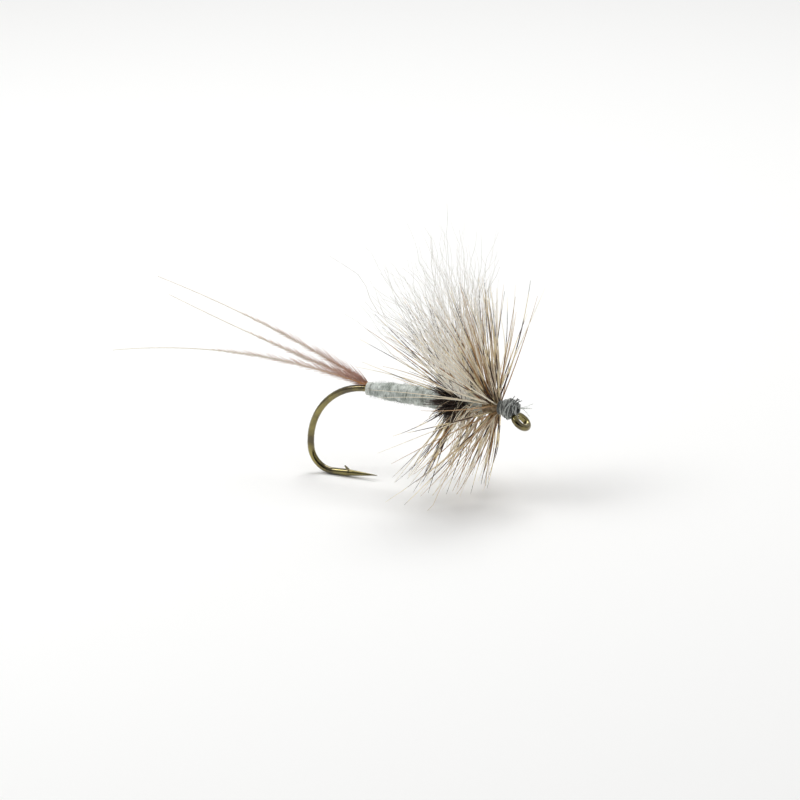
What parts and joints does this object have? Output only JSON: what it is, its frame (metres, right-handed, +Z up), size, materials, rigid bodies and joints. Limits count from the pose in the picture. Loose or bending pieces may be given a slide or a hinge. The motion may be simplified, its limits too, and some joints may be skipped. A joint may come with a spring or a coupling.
{
  "type": "dry fly",
  "caption": "Upright hair-wing dry fly on a barbed down-eye hook, with a wound body, a barb tail and wound hackles.",
  "frame": {"origin": "centre of the round bore of the hook's eye", "axes": "+X forward along the shank, out past the eye; +Z up, square to the shank and away from the hook's point; +Y to the far side"},
  "size_m": [0.0273, 0.0148, 0.0166],
  "materials": {
    "bronzed_steel": "gloss",
    "pale_thread": "satin",
    "grey_thread": "satin",
    "body_yarn": "matte",
    "tail_feather": "matte",
    "wing_hair": "satin",
    "rear_hackle_quill": "satin",
    "front_hackle_quill": "satin",
    "rear_hackle_barb": "satin",
    "front_hackle_barb": "satin"
  },
  "bodies": {
    "root": {"hook": "bronzed_steel", "thread_underwrap": "pale_thread", "tail_lashing": "pale_thread", "wing_butt_lashing": "pale_thread", "wing_figure_eight": "pale_thread", "wing_post_wrap_near": "pale_thread", "wing_post_wrap_far": "pale_thread", "wing_front_dam": "grey_thread", "hackle_tie_down": "grey_thread", "head_wraps": "grey_thread", "whip_finish": "grey_thread", "thread_tag": "pale_thread", "underbody": "body_yarn", "body_winding": "body_yarn", "tail_barb_upper": "tail_feather", "tail_barb_middle": "tail_feather", "tail_barb_lower": "tail_feather", "wing_butts": "wing_hair", "wing_near": "wing_hair", "wing_far": "wing_hair", "rear_hackle_stem": "rear_hackle_quill", "front_hackle_stem": "front_hackle_quill", "rear_hackle_barbs_1": "rear_hackle_barb", "rear_hackle_barbs_2": "rear_hackle_barb", "rear_hackle_barbs_3": "rear_hackle_barb", "front_hackle_barbs_1": "front_hackle_barb", "front_hackle_barbs_2": "front_hackle_barb", "front_hackle_barbs_3": "front_hackle_barb", "clipped_stubs": "front_hackle_quill"}
  },
  "joints": []
}
